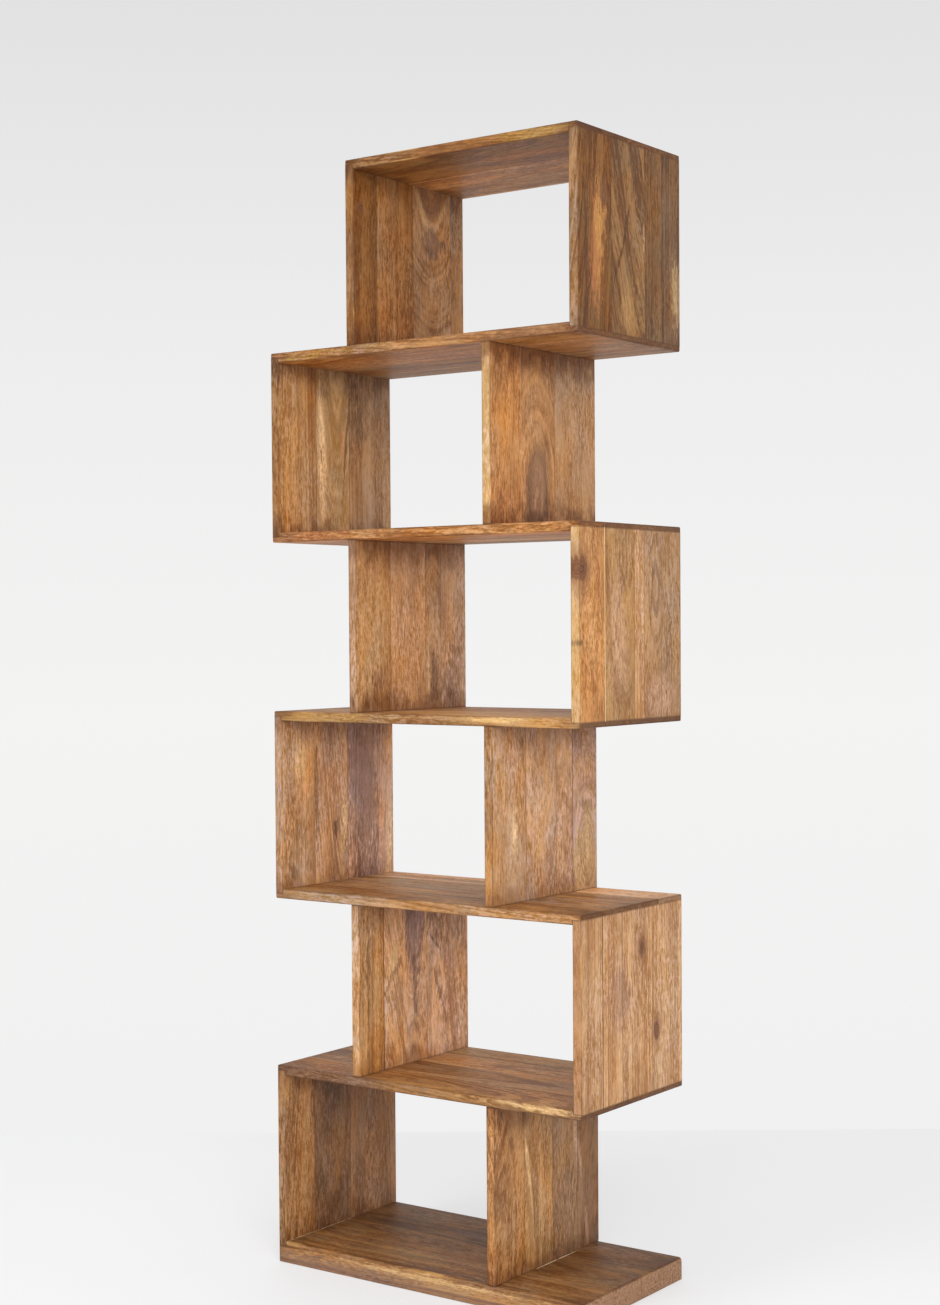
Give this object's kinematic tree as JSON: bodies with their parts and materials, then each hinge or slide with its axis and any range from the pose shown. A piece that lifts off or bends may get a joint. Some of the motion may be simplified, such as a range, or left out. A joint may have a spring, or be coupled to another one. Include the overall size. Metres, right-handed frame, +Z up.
{
  "type": "zigzag bookshelf",
  "caption": "Tall free-standing wooden bookshelf of open boxes that step left and right in turn, with no back, on a thick base board.",
  "frame": {"origin": "on the floor, under the middle of the base board", "axes": "+Z up, +X to the right seen from the front, the front edges face -Y"},
  "size_m": [0.6, 0.3, 1.8],
  "materials": {
    "shelf_wood": "satin oiled hardwood, grain along X",
    "base_wood": "satin oiled hardwood, grain along X",
    "upright_wood": "satin oiled hardwood, grain along Z",
    "dowel_wood": "plain beech"
  },
  "bodies": {
    "root": {"top_board": "shelf_wood", "shelf_1": "shelf_wood", "shelf_2": "shelf_wood", "shelf_3": "shelf_wood", "shelf_4": "shelf_wood", "shelf_5": "shelf_wood", "base_board": "base_wood", "upright_1_left": "upright_wood", "upright_1_right": "upright_wood", "upright_2_left": "upright_wood", "upright_2_right": "upright_wood", "upright_3_left": "upright_wood", "upright_3_right": "upright_wood", "upright_4_left": "upright_wood", "upright_4_right": "upright_wood", "upright_5_left": "upright_wood", "upright_5_right": "upright_wood", "upright_6_left": "upright_wood", "upright_6_right": "upright_wood", "dowel_1_foot_1": "dowel_wood", "dowel_1_foot_2": "dowel_wood", "dowel_1_foot_3": "dowel_wood", "dowel_2_foot_1": "dowel_wood", "dowel_2_foot_2": "dowel_wood", "dowel_2_foot_3": "dowel_wood", "dowel_2_head_1": "dowel_wood", "dowel_2_head_2": "dowel_wood", "dowel_2_head_3": "dowel_wood", "dowel_3_foot_1": "dowel_wood", "dowel_3_foot_2": "dowel_wood", "dowel_3_foot_3": "dowel_wood", "dowel_3_head_1": "dowel_wood", "dowel_3_head_2": "dowel_wood", "dowel_3_head_3": "dowel_wood", "dowel_4_foot_1": "dowel_wood", "dowel_4_foot_2": "dowel_wood", "dowel_4_foot_3": "dowel_wood", "dowel_4_head_1": "dowel_wood", "dowel_4_head_2": "dowel_wood", "dowel_4_head_3": "dowel_wood", "dowel_5_foot_1": "dowel_wood", "dowel_5_foot_2": "dowel_wood", "dowel_5_foot_3": "dowel_wood", "dowel_5_head_1": "dowel_wood", "dowel_5_head_2": "dowel_wood", "dowel_5_head_3": "dowel_wood", "dowel_6_foot_1": "dowel_wood", "dowel_6_foot_2": "dowel_wood", "dowel_6_foot_3": "dowel_wood", "dowel_6_head_1": "dowel_wood", "dowel_6_head_2": "dowel_wood", "dowel_6_head_3": "dowel_wood"}
  },
  "joints": []
}
